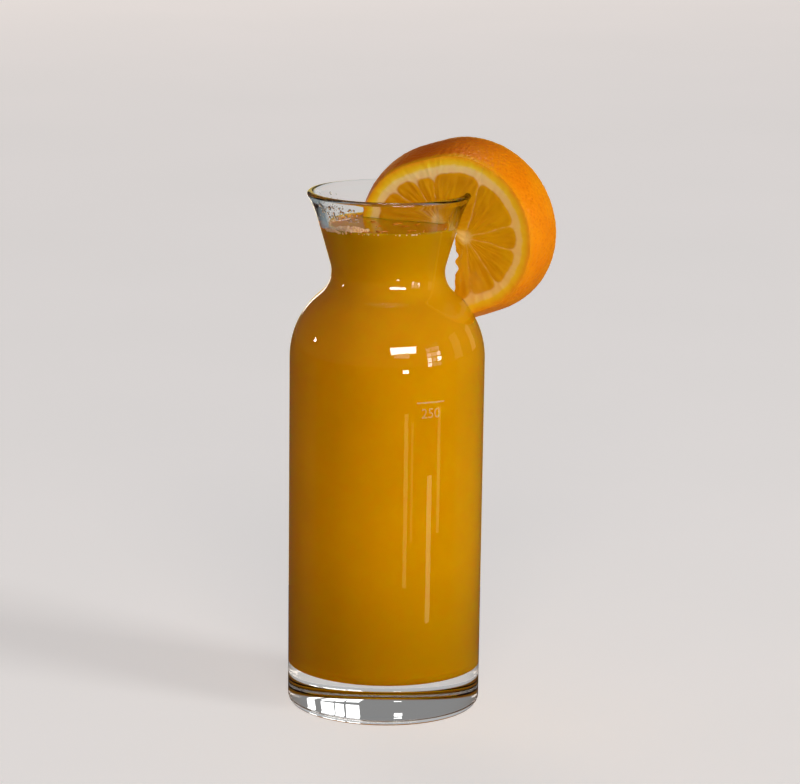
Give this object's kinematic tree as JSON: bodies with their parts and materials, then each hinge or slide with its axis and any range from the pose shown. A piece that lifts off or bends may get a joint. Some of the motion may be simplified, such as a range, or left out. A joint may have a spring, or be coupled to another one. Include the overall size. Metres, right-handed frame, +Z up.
{
  "type": "carafe of orange juice",
  "caption": "Clear glass carafe with a heavy base, a waist and a flared mouth, full of orange juice, with a thick slit orange slice hung on its rim.",
  "frame": {"origin": "middle of the base's flat underside, on the carafe's axis", "axes": "+Z up along the carafe's axis, -Y to the front, +X to the side where the slice hangs"},
  "size_m": [0.0864, 0.064, 0.1885],
  "materials": {
    "clear_glass": "clear polished soda-lime glass",
    "orange_juice": "cloudy orange juice, smooth and wet",
    "orange_flesh": "wet orange pulp, pale pith and waxy pored rind"
  },
  "bodies": {
    "root": {"carafe": "clear_glass", "juice": "orange_juice", "orange_slice": "orange_flesh"}
  },
  "joints": []
}
